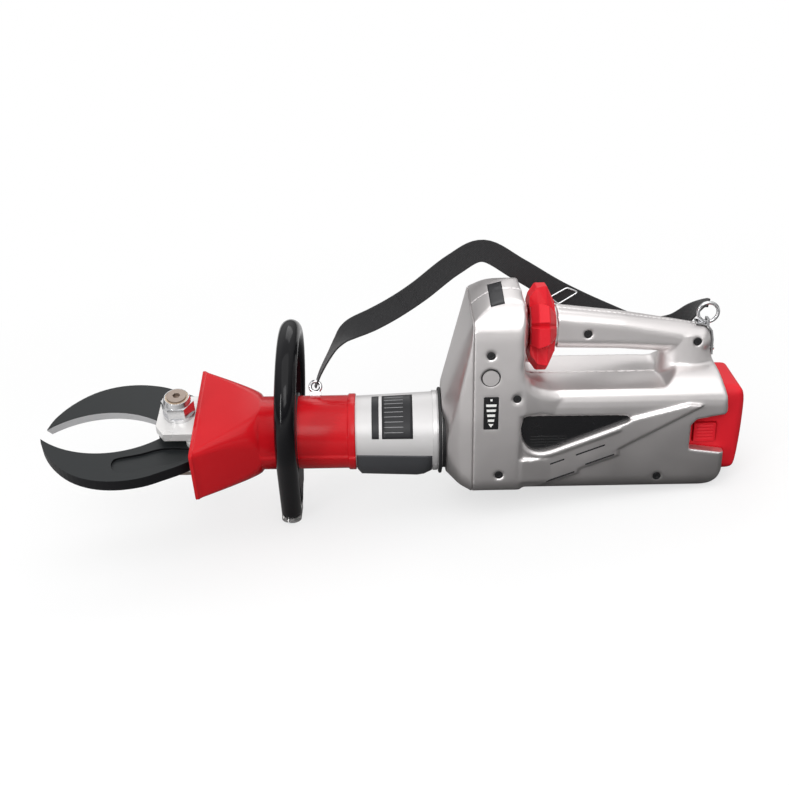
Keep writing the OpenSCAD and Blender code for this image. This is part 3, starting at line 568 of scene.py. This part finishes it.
def ground_blade(node, flip, blunt=None):
    """Blade with its ground bevel in bright steel; blunt cuts the point off at that distance along BLUNT."""
    mesh = bpy.data.meshes.new(node + "_ground")
    bm = welded(node)
    if blunt:
        way = Vector((-BLUNT[0], 0, 0)) + across * BLUNT[1] * flip
        at = Vector((PIVOT_X, 0, 0)) + way * blunt
        bmesh.ops.bisect_plane(bm, geom=bm.verts[:] + bm.edges[:] + bm.faces[:], plane_co=world(*at),
                               plane_no=TOOL.to_3x3() @ way, clear_outer=True)
        bmesh.ops.holes_fill(bm, edges=[e for e in bm.edges if e.is_boundary])
    bm.to_mesh(mesh)
    bm.free()
    for material in (M["blade_steel"], GROUND, BLADE_SIDE):
        mesh.materials.append(material)
    turn_back = TOOL.to_3x3().inverted()
    for poly in mesh.polygons:
        q = tool(poly.center)
        flat = Vector((PIVOT_X - q.x, q.dot(across) * flip))
        reach = (flat - EDGE_AT).length
        facing = abs((turn_back @ poly.normal).dot(through))
        if facing < 0.9 and EDGE_R - 1 < reach < EDGE_R + BEVEL + 1 and flat.x > BEVEL_FROM:
            poly.material_index = 1
        elif facing < 0.3:
            poly.material_index = 2
    settle(node + "_ground", mesh, body_of[node], (node,), smooth=False)


ground_blade("upper_blade", 1)
ground_blade("lower_blade", -1, LOWER_BLUNT)


# Guard: rounded rectangular mouth that turns into a round neck
GUARD_D, GUARD_WALL, MOUTH_W, MOUTH_H = 84.0, 3.0, 148.0, 71.0
MOUTH_X, NECK_X, BOOT_END = PIVOT_X + 19, PIVOT_X + 93, -44.0
CORNER_STEPS = 18


def guard_ring(x, f, inset):
    """Cross-section at a station: f is 0 at the round neck and 1 at the mouth."""
    a = GUARD_D / 2 + (MOUTH_W - GUARD_D) / 2 * f ** 1.25 - inset
    b = GUARD_D / 2 + (MOUTH_H - GUARD_D) / 2 * f ** 1.6 - inset
    r = max(3, (GUARD_D / 2 - inset) * (1 - f ** 0.5) + 6 * f - inset * f)
    ring = []
    for k, (sa, sb) in enumerate(((1, 1), (-1, 1), (-1, -1), (1, -1))):
        for i in range(CORNER_STEPS + 1):
            angle = math.pi / 2 * (k + i / CORNER_STEPS)
            p, q = sa * (a - r) + r * math.cos(angle), sb * (b - r) + r * math.sin(angle)
            ring.append(world(x, p * math.sin(HEAD_ROLL) - q * math.cos(HEAD_ROLL),
                              p * math.cos(HEAD_ROLL) + q * math.sin(HEAD_ROLL)))
    return ring


def guard():
    flare = NECK_X - MOUTH_X
    steps = [i / 30 for i in range(30, -1, -1)]
    rim = [guard_ring(MOUTH_X + 0.6, 1, GUARD_WALL), guard_ring(MOUTH_X, 1, GUARD_WALL - 0.8),
           guard_ring(MOUTH_X - 0.2, 1, GUARD_WALL / 2), guard_ring(MOUTH_X, 1, 0.5)]
    bead = [guard_ring(MOUTH_X + 0.8 + x, 1 - x / flare, -h) for x, h in
            ((0, 0), (1.4, 0), (1.9, 0.5), (2.9, 0.6), (3.4, 0.1), (4.4, 0))]
    outer = [guard_ring(NECK_X - flare * f, f, 0) for f in steps if f < 0.92]
    lip = [guard_ring(BOOT_END + x, 0, -h) for x, h in
           ((-9.4, 0), (-8.6, 0.3), (-8, 1.3), (-7.2, 1.7), (-1.2, 1.8), (-0.3, 1.5), (0, 0.8), (0, -GUARD_WALL))]
    inner = [guard_ring(NECK_X - flare * f, f, GUARD_WALL) for f in reversed(steps) if f < 0.985]
    verts, faces = skin(rim + bead + outer + lip + inner, loop=True)
    piece("guard_flare", verts, faces, M["red_guard"], "frame", "red_guard", ("guard_boot",))


guard()


# Front handle: rubber sleeve on an arch whose limbs meet at the foot
ARCH_R, ARCH_Z, LIMB_GAP, SLEEVE_D, FOOT_TOP = 80.0, 41.0, 12.5, 23.6, -97.0
LIMB_STEPS, ARCH_STEPS = 14, 24


def handle():
    far = math.hypot(LIMB_GAP, ARCH_Z - FOOT_TOP)
    tangent = math.atan(LIMB_GAP / (ARCH_Z - FOOT_TOP)) + math.acos(ARCH_R / far)
    half = []
    touch = (ARCH_R * math.sin(tangent), ARCH_Z - ARCH_R * math.cos(tangent))
    for i in range(LIMB_STEPS):
        k = i / LIMB_STEPS
        half.append((LIMB_GAP + (touch[0] - LIMB_GAP) * k, FOOT_TOP + (touch[1] - FOOT_TOP) * k))
    for i in range(ARCH_STEPS + 1):
        a = tangent + (math.pi - tangent) * i / ARCH_STEPS
        half.append((ARCH_R * math.sin(a), ARCH_Z - ARCH_R * math.cos(a)))
    plane = half + [(-y, z) for y, z in half[-2::-1]]
    path = [world(HANDLE_X + z * math.sin(RAKE), y, z * math.cos(RAKE)) for y, z in plane]
    verts, faces = tube(path, SLEEVE_D / 2000, 28)
    piece("handle_grip", verts, faces, M["handle_rubber"], "frame", "handle_rubber", ("handle_sleeve",))


handle()


# Carrying strap: rows of x, y, z, lean and width; as in part.scad from x = 32 on, up to 6 mm beside it before that
STRAP = [(-90, 20.5, 47, 70, 9), (-84, 24, 63, 76, 14), (-74, 29, 81, 80, 20), (-63, 36, 96, 74, 25),
         (-48, 44, 108, 48, 26), (-22, 53, 117, 26, 26), (4, 60, 129, 16, 26), (32, 66, 146, 12, 26),
         (70, 67, 176, 8, 26), (104, 67, 192, 4, 26), (144, 67, 170, 8, 26), (190, 65, 142, 12, 26),
         (240, 57, 119, 16, 26), (285, 52, 102, 18, 26), (318, 44, 106, 24, 26), (336, 34, 126, 40, 22),
         (345, 14, 144, 76, 12), (347, 2, 149, 88, 10)]
STRAP_T, SELVEDGE = 1.8, 0.5
BUCKLE_X, BUCKLE_LIFT = 183, 2.4
BUCKLE_CORNERS = ((550, 297), (567, 287.5), (578, 292), (558, 304))
STITCH_ROWS = (50, 54, 110, 114)


def strap_rows():
    """Points along the strap, each with the directions across and through the band and its width."""
    rows = curve(STRAP, 8)
    out = []
    for i, row in enumerate(rows):
        p = Vector(row[:3])
        along = (Vector(rows[min(i + 1, len(rows) - 1)][:3]) - Vector(rows[max(i - 1, 0)][:3])).normalized()
        lean = math.radians(row[3])
        u = Vector((0, math.sin(lean), math.cos(lean)))
        u = (u - along * u.dot(along)).normalized()
        out.append((p, u, along.cross(u), row[4]))
    return out


def strap():
    rings = []
    for p, u, v, width in strap_rows():
        w, t, e = width / 2, STRAP_T / 2, SELVEDGE
        outline = [(-w, 0), (-w + e, -t), (-w + 2, -t * 0.8), (0, -t * 0.8), (w - 2, -t * 0.8), (w - e, -t),
                   (w, 0), (w - e, t), (w - 2, t * 0.8), (0, t * 0.8), (-w + 2, t * 0.8), (-w + e, t)]
        rings.append([world(*(p + u * a + v * b)) for a, b in outline])
    verts, faces = skin(rings)
    return piece("strap_webbing", verts, faces, M["webbing"], "frame", "webbing", ("carry_strap",))


def buckle():
    """Wire slider laid on the band: a rounded loop in front and a bar behind."""
    at, _, v, _ = min(strap_rows(), key=lambda row: abs(row[0].x - BUCKLE_X))
    v = v if v.y < 0 else -v
    plane = world(*(at + v * BUCKLE_LIFT))
    normal = TOOL.to_3x3() @ v
    corners = []
    for px, py in BUCKLE_CORNERS:
        start, way = pixel_ray(px, py)
        corners.append(start + way * ((plane - start).dot(normal) / way.dot(normal)))
    loop = []
    for k in range(4):
        here, before, after = corners[k], corners[k - 1], corners[(k + 1) % 4]
        a, c = here + (before - here).normalized() * 0.003, here + (after - here).normalized() * 0.003
        for i in range(7):
            t = i / 6
            loop.append(a * (1 - t) ** 2 + here * 2 * t * (1 - t) + c * t ** 2)
    a, c = (corners[0] + corners[1]) / 2, (corners[2] + corners[3]) / 2
    deep = normal * -0.0048
    bar = [a, a + deep * 0.5 + (a - c) * 0.04, a + deep, c + deep, c + deep * 0.5 + (c - a) * 0.04, c]
    verts, faces = joined([tube(loop, 0.0011, 12, True), tube(bar, 0.0010, 12)])
    return piece("strap_slider", verts, faces, M["bright_steel"], "frame", "bright_steel", ("strap_buckle",))


def stitches(name, rows):
    """Rows of short thread loops across the band where it is folded back."""
    threads = []
    for p, u, v, width in rows:
        for k in range(-4, 5):
            at = p + u * (width / 2 - 3) * k / 4
            for s in (-1, 1):
                a = at + v * s * (STRAP_T / 2 - 0.1)
                path = [world(*(a + u * d + v * s * h)) for d, h in ((-0.9, 0), (-0.4, 0.35), (0.4, 0.35), (0.9, 0))]
                threads.append(tube(path, 0.00022, 6))
    verts, faces = joined(threads)
    return piece(name, verts, faces, STITCH, "frame", "webbing")


band = strap()
slider = buckle()
all_rows = strap_rows()
stitched = [stitches("stitch_row_%d" % k, all_rows[i:i + 2]) for k, i in enumerate(STITCH_ROWS)]


# Plates of the barrel, and a dark shell under it as painted shade
BARREL_D0, BARREL_D1, BARREL_END = 82.0, 89.0, 43.0
PLATE_FROM, PLATE_TO, PLATE_LIFT, RULE_LIFT = -5, 76, 0.25, 0.33
RULES, RULE_FIRST, RULE_STEP, RULE_W = 9, 2, 8, 0.7


def barrel_radius(x):
    return (BARREL_D0 + (BARREL_D1 - BARREL_D0) * (x - BOOT_END) / (BARREL_END - BOOT_END)) / 2


def round_barrel(x, row):
    """Points at a station from pairs of radius and angle, counted from the top towards the near side."""
    return [world(x, -q * math.sin(math.radians(a)), q * math.cos(math.radians(a))) for q, a in row]


def barrel_patch(name, x0, x1, a0, a1, lift, material):
    """Curved plate on the barrel between two stations and two angles."""
    rings = []
    for i in range(9):
        x = x0 + (x1 - x0) * i / 8
        r = barrel_radius(x)
        row = [(r + lift, a0 + (a1 - a0) * k / 24) for k in range(25)]
        row += [(r - 0.2, a) for _, a in reversed(row)]
        rings.append(round_barrel(x, row))
    verts, faces = skin(rings)
    piece(name, verts, faces, material, "frame", "black_plastic")


def barrel_painted_shade():
    """Dark shell under the barrel, thickest at the bottom and tapered at both ends; its dark grey is painted shade on
    the barrel's underside.
    """
    rings = []
    for x, k in ((-43, 0.25), (-38, 1.0), (25, 1.0), (33, 0.8), (42, 0.15)):
        r = barrel_radius(x)
        row = [(r + 0.3 + 7 * k * ease(abs(a - 180), 76, 30), a) for a in range(104, 257, 4)]
        row += [(r - 1, a) for _, a in reversed(row)]
        rings.append(round_barrel(x, row))
    verts, faces = skin(rings)
    piece("barrel_painted_shade", verts, faces, UNDERSIDE_PAINTED_SHADE, "frame", "black_plastic")


barrel_painted_shade()
barrel_patch("barrel_plate_narrow", -25.5, -17.5, PLATE_FROM, PLATE_TO, PLATE_LIFT, PLATE)
barrel_patch("barrel_plate_wide", -14, 20.5, PLATE_FROM, PLATE_TO, PLATE_LIFT, PLATE)
for k in range(RULES):
    at_angle = RULE_FIRST + RULE_STEP * k
    barrel_patch("barrel_rule_%d" % k, -11.5, 10, at_angle, at_angle + RULE_W, RULE_LIFT, RULE)


# Vent slits in the band: dark strips on both sides, painted shade in place of the slits' openings
def slit(name, x, z, side):
    c, q = math.cos(SLIT_RISE), math.sin(SLIT_RISE)
    rings = []
    for along, h in ((0, 0.3), (0.7, 0.85), (SLIT_L - 0.7, 0.85), (SLIT_L, 0.3)):
        rings.append([world(x + along * c - up_by * q, side * (BODY_W + depth), z + 1 + along * q + up_by * c)
                      for up_by, depth in ((-h, 3.2), (h, 3.2), (h, 4.12), (-h, 4.12))])
    verts, faces = skin(rings)
    piece(name, verts, faces, SLIT_SHADE, "frame", "black_plastic", smooth=False)


for k, (x, z) in enumerate(SLITS):
    slit("vent_slit_near_%d" % k, x, z, -1)
    slit("vent_slit_far_%d" % k, x, z, 1)


# Charge gauge: white bars that narrow downwards on the black window; ring of the power button
GAUGE_X, GAUGE_Z, GAUGE_Y = 105.0, 50.0, -62.15
BUTTON_X, BUTTON_Z, BUTTON_Y, BUTTON_R = 104.0, 92.0, -62.05, 9.7


def rounded(w, h, r, n=6):
    """Rounded rectangle in the plane, half width w and half height h."""
    return [(sx * (w - r) + r * math.cos(a), sz * (h - r) + r * math.sin(a))
            for k, (sx, sz) in enumerate(((1, 1), (-1, 1), (-1, -1), (1, -1)))
            for a in (math.pi / 2 * (k + i / n) for i in range(n + 1))]


def gauge_window():
    rings = [[world(GAUGE_X + x, y, GAUGE_Z + z) for x, z in rounded(w, h, 1.2)]
             for y, w, h in ((-58, 8.2, 19.6), (-61.8, 8.2, 19.6), (GAUGE_Y, 7.9, 19.3))]
    verts, faces = skin(rings)
    piece("gauge_window", verts, faces, M["black_plastic"], "frame", "black_plastic", ("charge_gauge",), False)


gauge_window()
ring_path = [world(BUTTON_X + BUTTON_R * math.cos(a), BUTTON_Y, BUTTON_Z + BUTTON_R * math.sin(a))
             for a in (2 * math.pi * k / 48 for k in range(48))]
piece("button_ring", *tube(ring_path, 0.00055, 10, True), M["black_plastic"], "frame", "black_plastic")


def gauge_bar(name, z, width, height, taper=1.0):
    w, h = width / 2, height / 2
    corners = [(-w * taper, z - h), (w * taper, z - h), (w, z + h), (-w, z + h)]
    verts = [world(GAUGE_X + x, GAUGE_Y - d, GAUGE_Z + zz) for d in (0.25, -0.3) for x, zz in corners]
    faces = [(0, 1, 2, 3), (7, 6, 5, 4), (0, 4, 5, 1), (1, 5, 6, 2), (2, 6, 7, 3), (3, 7, 4, 0)]
    piece(name, verts, faces, WHITE, "frame", "silver_paint", smooth=False)


for k, width in enumerate((11.5, 10.2, 8.8, 7.2)):
    gauge_bar("gauge_bar_%d" % k, 9.5 - 6 * k, width, 2.8, 0.93)
gauge_bar("gauge_mark_low", -14.5, 5.5, 3.6, 0.15)
gauge_bar("gauge_mark_top", 16, 2.4, 2.4)


# Bare label on the housing's top
LABEL_CORNERS, LABEL_HALF_T, LABEL_GRID = ((487, 285), (501, 281.5), (505, 303.5), (491, 307)), 0.0004, (12, 16)


def top_label():
    """Thin plate laid on what the picture shows between its corners, which run round the plate."""
    (ax, ay), (bx, by), (cx, cy), (dx, dy) = LABEL_CORNERS
    top, low = [], []
    for i in range(LABEL_GRID[0] + 1):
        u = i / LABEL_GRID[0]
        for j in range(LABEL_GRID[1] + 1):
            v = j / LABEL_GRID[1]
            px = (ax * (1 - u) + bx * u) * (1 - v) + (dx * (1 - u) + cx * u) * v
            py = (ay * (1 - u) + by * u) * (1 - v) + (dy * (1 - u) + cy * u) * v
            start, way = pixel_ray(px, py)
            hits = [(h[1], h[2]) for h in (t.ray_cast(start, way) for t in (left_case, right_case)) if h[0]]
            at, normal = min(hits, key=lambda h: (h[0] - start).length)
            top.append(at + normal * LABEL_HALF_T)
            low.append(at - normal * LABEL_HALF_T)
    n, m, count = LABEL_GRID[1] + 1, LABEL_GRID[0] + 1, len(top)
    faces = [(i * n + j, i * n + j + 1, (i + 1) * n + j + 1, (i + 1) * n + j)
             for i in range(m - 1) for j in range(n - 1)]
    faces += [tuple(count + k for k in f[::-1]) for f in faces]
    edge = (list(range(n)) + [i * n + n - 1 for i in range(1, m)] + [(m - 1) * n + j for j in range(n - 2, -1, -1)]
            + [i * n for i in range(m - 2, 0, -1)])
    faces += [(a, b, count + b, count + a) for a, b in zip(edge, edge[1:] + edge[:1])]
    piece("top_label", top + low, faces, PLATE, "frame", "black_plastic")


bpy.context.view_layer.update()
top_label()

# Stage: floor, lamps and room
FLOOR_HALF, NEAR_WHITE, WHITE_FROM, WHITE_TO = 8.0, 0.64, 0.45, 1.1
UNDER_FROM, UNDER_TO, UNDER_AT, UNDER_SCALE = 0.15, 0.85, (0.32, 0, 0), (0.9, 1, 0)
LAMP_AIM = (0, 0, 0.15)
SKY_FULL, SKY_LOW, SKY_HIGH = 0.7, 0.14, 0.98
floor_mesh = bpy.data.meshes.new("floor")
floor_mesh.from_pydata([(-FLOOR_HALF, -FLOOR_HALF, 0), (FLOOR_HALF, -FLOOR_HALF, 0), (FLOOR_HALF, FLOOR_HALF, 0),
                        (-FLOOR_HALF, FLOOR_HALF, 0)], [], [(0, 1, 2, 3)])
floor = bpy.data.objects.new("floor", floor_mesh)
bpy.context.scene.collection.objects.link(floor)
floor.location.z = -0.0005


def floor_material():
    """Floor that the camera sees pale near the object and white further away; as light it has a dark patch near the
    case, painted shade that darkens the case's undersides.
    """
    g = Graph("floor_pale")
    s = g.shader.inputs
    s["Roughness"].default_value = 0.9
    s["Specular IOR Level"].default_value = 0.1
    g.join(g.ramp(g.noise(3), (0.79, 0.79, 0.79), (0.81, 0.81, 0.81)), s["Base Color"])
    length = g.add("VectorMath", operation="LENGTH")
    g.join(g.place, length.inputs[0])
    away = g.spread(length.outputs["Value"], NEAR_WHITE, 1, WHITE_FROM, WHITE_TO)
    glow = g.add("Emission")
    glow.inputs["Strength"].default_value = 1.0
    seen = g.add("MixShader")
    g.join(away, seen.inputs[0])
    g.join(g.shader.outputs[0], seen.inputs[1])
    g.join(glow.outputs[0], seen.inputs[2])
    # painted shade: as light the floor turns dark near the case, to darken the case's lower sides
    dark = g.add("BsdfDiffuse")
    oval = g.add("VectorMath", operation="MULTIPLY")
    oval.inputs[1].default_value = UNDER_SCALE
    centre = g.add("VectorMath", operation="SUBTRACT")
    centre.inputs[1].default_value = UNDER_AT
    g.join(g.place, centre.inputs[0])
    g.join(centre.outputs["Vector"], oval.inputs[0])
    reach = g.add("VectorMath", operation="LENGTH")
    g.join(oval.outputs["Vector"], reach.inputs[0])
    out_from = g.spread(reach.outputs["Value"], 0, 1, UNDER_FROM, UNDER_TO)
    g.join(g.ramp(out_from, (0.05, 0.05, 0.05), (0.62, 0.62, 0.62)), dark.inputs["Color"])
    path = g.add("LightPath")
    mix = g.add("MixShader")
    g.join(path.outputs["Is Camera Ray"], mix.inputs[0])
    g.join(dark.outputs[0], mix.inputs[1])
    g.join(seen.outputs[0], mix.inputs[2])
    g.join(mix.outputs[0], g.tree.nodes["Material Output"].inputs["Surface"])
    return g.material


floor_mesh.materials.append(floor_material())


def area(name, loc, aim, size, power, tall=None):
    data = bpy.data.lights.new(name, "AREA")
    data.energy = power
    data.size = size
    if tall:
        data.shape = "RECTANGLE"
        data.size_y = tall
    lamp = bpy.data.objects.new(name, data)
    bpy.context.scene.collection.objects.link(lamp)
    lamp.location = loc
    lamp.rotation_euler = (Vector(aim) - Vector(loc)).to_track_quat("-Z", "Y").to_euler()


area("key", (0.15, -1.0, 1.8), LAMP_AIM, 2.4, 15)
area("fill", (0.3, -2.0, 1.3), (0.1, 0, 0.15), 1.1, 12.5)
area("strip", (-1.1, -1.4, 0.6), (-0.2, 0, 0.15), 0.16, 8, 1.1)
area("back", (0.3, 1.4, 1.6), LAMP_AIM, 1.2, 7)


def studio():
    """White room to the camera; as light it is bright overhead and dim at the horizon."""
    w = bpy.data.worlds.new("studio")
    w.use_nodes = True
    tree = w.node_tree
    back = tree.nodes["Background"]
    back.inputs["Color"].default_value = (1, 1, 1, 1)
    spot = tree.nodes.new("ShaderNodeTexCoord")
    split = tree.nodes.new("ShaderNodeSeparateXYZ")
    sky = tree.nodes.new("ShaderNodeMapRange")
    sky.inputs["From Max"].default_value = SKY_FULL
    sky.inputs["To Min"].default_value = SKY_LOW
    sky.inputs["To Max"].default_value = SKY_HIGH
    path = tree.nodes.new("ShaderNodeLightPath")
    pick = tree.nodes.new("ShaderNodeMix")
    pick.inputs[3].default_value = 1.0
    tree.links.new(spot.outputs["Generated"], split.inputs[0])
    tree.links.new(split.outputs["Z"], sky.inputs["Value"])
    tree.links.new(path.outputs["Is Camera Ray"], pick.inputs[0])
    tree.links.new(sky.outputs["Result"], pick.inputs[2])
    tree.links.new(pick.outputs[0], back.inputs["Strength"])
    bpy.context.scene.world = w


studio()
bpy.context.scene.view_settings.view_transform = "Standard"
